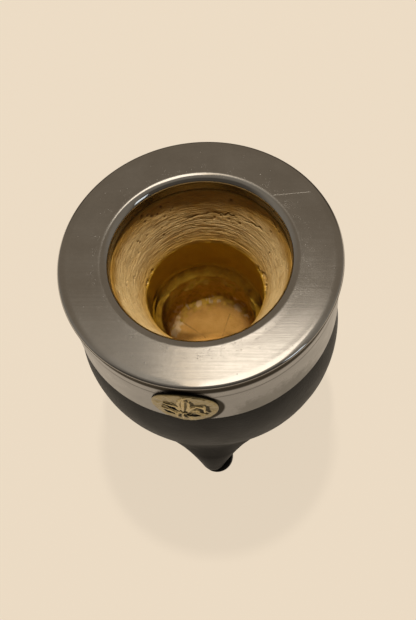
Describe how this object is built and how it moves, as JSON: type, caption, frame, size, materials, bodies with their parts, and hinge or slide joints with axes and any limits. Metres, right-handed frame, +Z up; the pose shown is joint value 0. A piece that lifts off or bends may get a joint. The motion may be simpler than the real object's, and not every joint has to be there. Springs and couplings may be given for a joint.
{
  "type": "mate gourd",
  "caption": "Calabash mate cup in black leather on splayed feet, with a brushed steel collar, a sanded funnel mouth and a brass lily medallion.",
  "frame": {"origin": "on the cup's axis, at the level that the feet stand on", "axes": "+Z up along the cup's axis; -Y toward the front foot; +X to the right when the front foot faces the viewer"},
  "size_m": [0.1028, 0.1037, 0.1036],
  "materials": {
    "gourd": "sanded calabash, matt, torn grooves",
    "leather": "black waxed leather, satin",
    "thread": "waxed black thread",
    "plate_steel": "satin brushed",
    "band_steel": "satin, lightly stained",
    "solder": "as cast solder",
    "resin": "cast resin",
    "brass": "cast, hammered ground, dark recesses",
    "rivet_brass": "drawn wire",
    "core_wood": "turned, bare",
    "screw_steel": "plain steel",
    "tip_rubber": "black rubber, slightly glossy"
  },
  "bodies": {
    "root": {"gourd": "gourd", "leather_cover": "leather", "seam_thread": "thread", "rim_plate": "plate_steel", "collar_band": "band_steel", "collar_solder": "solder", "resin_bed": "resin", "medallion": "brass", "medallion_rivets": "rivet_brass", "leg_core_front": "core_wood", "leg_core_right": "core_wood", "leg_core_left": "core_wood", "leg_screws": "screw_steel", "foot_tip_front": "tip_rubber", "foot_tip_right": "tip_rubber", "foot_tip_left": "tip_rubber"}
  },
  "joints": []
}
